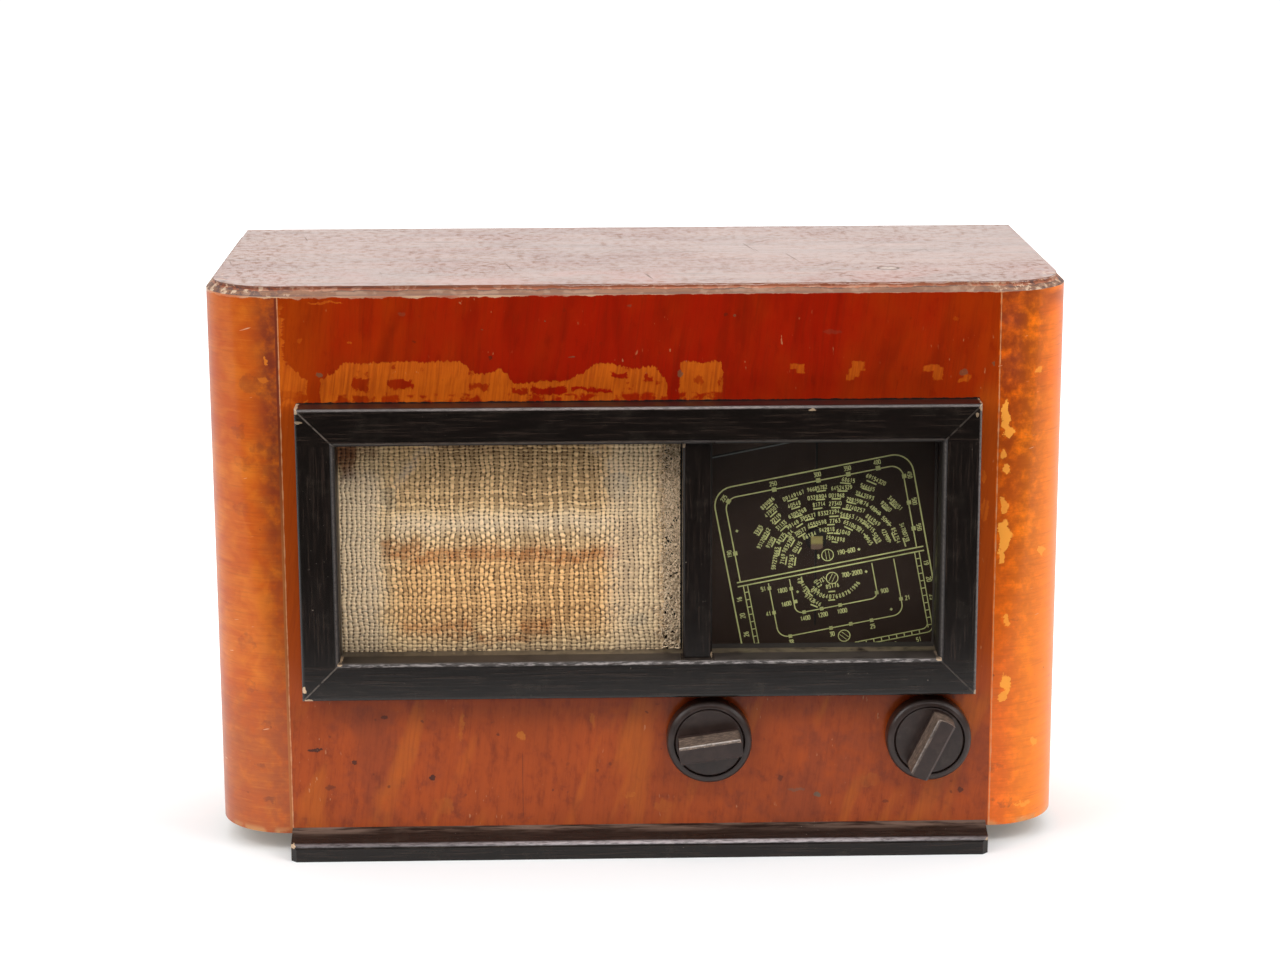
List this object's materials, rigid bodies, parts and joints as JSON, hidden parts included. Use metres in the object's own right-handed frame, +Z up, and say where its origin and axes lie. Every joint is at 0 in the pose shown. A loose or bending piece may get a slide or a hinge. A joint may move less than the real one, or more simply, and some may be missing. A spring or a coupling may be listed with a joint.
{
  "type": "table radio receiver",
  "caption": "Table radio in a bent plywood cabinet: black framed window with grille cloth and printed dial glass, two dual concentric knobs, valve chassis and loudspeaker.",
  "frame": {"origin": "middle of the whole object's footprint, on the surface it stands on", "axes": "+X to the right seen from the front, +Y towards the back cover, +Z up; the window and the knobs face -Y"},
  "size_m": [0.36, 0.1898, 0.244],
  "materials": {
    "veneer": "varnished veneer, cracked and flaked",
    "veneer_top": "varnished veneer, scratched and faded",
    "bare_ply": "bare plywood",
    "black_lacquer": "black lacquer over wood, chipped at the corners",
    "hardboard": "brown hardboard",
    "cloth": "coarse woven cloth, stained",
    "dial_glass": "clear glass with a pale green print",
    "black_steel": "matt black paint",
    "chassis_steel": "dull plated sheet steel",
    "steel": "plated steel",
    "brass": "turned brass",
    "bakelite": "dark brown bakelite, worn on the grips",
    "laminate": "brown laminated board",
    "rubber": "black rubber",
    "lamp_glass": "small clear bulb",
    "valve_glass": "clear blown glass",
    "electrode": "blackened nickel",
    "paper": "black paper pulp",
    "magnet": "grey paint",
    "core_iron": "lacquered iron laminations",
    "winding": "wax paper over copper wire",
    "aluminium": "plain aluminium",
    "drum": "pale moulded plastic",
    "pointer": "cream paint, needle darkened",
    "cord": "braided waxed cord"
  },
  "bodies": {
    "cabinet": {"top_panel": "veneer_top", "bottom_board": "bare_ply", "side_left": "veneer", "side_right": "veneer", "front_panel": "veneer", "corner_posts": "bare_ply", "plinth_moulding": "black_lacquer", "rear_feet": "black_lacquer", "bezel_top": "black_lacquer", "bezel_bottom": "black_lacquer", "bezel_left": "black_lacquer", "bezel_right": "black_lacquer", "mullion": "black_lacquer", "grille_cloth": "cloth", "baffle_board": "hardboard", "baffle_screws": "steel", "back_cover": "hardboard", "back_cover_screws": "steel", "dial_glass": "dial_glass", "dial_plate": "black_steel", "dial_buffers": "rubber", "dial_clips": "steel", "dial_lamp_holders": "steel", "dial_lamps": "lamp_glass", "speaker_frame": "black_steel", "speaker_cone": "paper", "speaker_magnet": "magnet", "speaker_screws": "steel", "output_transformer": "core_iron", "chassis": "chassis_steel", "chassis_bolts": "steel", "mains_transformer_core": "core_iron", "mains_transformer_winding": "winding", "valve_sockets": "laminate", "valve_envelopes": "valve_glass", "valve_electrodes": "electrode", "coil_cans": "aluminium", "smoothing_capacitor": "aluminium", "gang_bracket": "chassis_steel", "gang_frame": "chassis_steel", "gang_stators": "aluminium", "control_bushes": "brass", "volume_control": "laminate", "tone_control": "laminate", "band_switch": "laminate", "tag_board": "laminate", "drive_cord": "cord", "aerial_earth_sockets": "laminate", "mains_inlet": "bakelite"},
    "gang": {"gang_rotor": "aluminium", "tuning_drum": "drum", "pointer": "pointer"},
    "tuning": {"tuning_spindle": "brass", "tuning_knob": "bakelite"},
    "band": {"band_spindle": "brass", "band_knob": "bakelite"},
    "volume": {"volume_spindle": "brass", "volume_knob": "bakelite"},
    "tone": {"tone_spindle": "brass", "tone_knob": "bakelite"}
  },
  "joints": [
    {"name": "gang_turn", "type": "hinge", "parent": "cabinet", "child": "gang", "pos_m": [0.0758, -0.05245, 0.131], "axis": [0, 1, 0], "range_deg": [-90, 90]},
    {"name": "tuning_turn", "type": "hinge", "parent": "cabinet", "child": "tuning", "pos_m": [0.1223, -0.08125, 0.05], "axis": [0, 1, 0], "range_deg": [-735, 735]},
    {"name": "band_turn", "type": "hinge", "parent": "cabinet", "child": "band", "pos_m": [0.1223, -0.08125, 0.05], "axis": [0, 1, 0], "range_deg": [-60, 0]},
    {"name": "volume_turn", "type": "hinge", "parent": "cabinet", "child": "volume", "pos_m": [0.0293, -0.08125, 0.05], "axis": [0, 1, 0], "range_deg": [-135, 135]},
    {"name": "tone_turn", "type": "hinge", "parent": "cabinet", "child": "tone", "pos_m": [0.0293, -0.08125, 0.05], "axis": [0, 1, 0], "range_deg": [0, 270]}
  ],
  "couplings": [
    {"joint": "tuning_turn", "follows": "gang_turn", "ratio": 8.1}
  ]
}
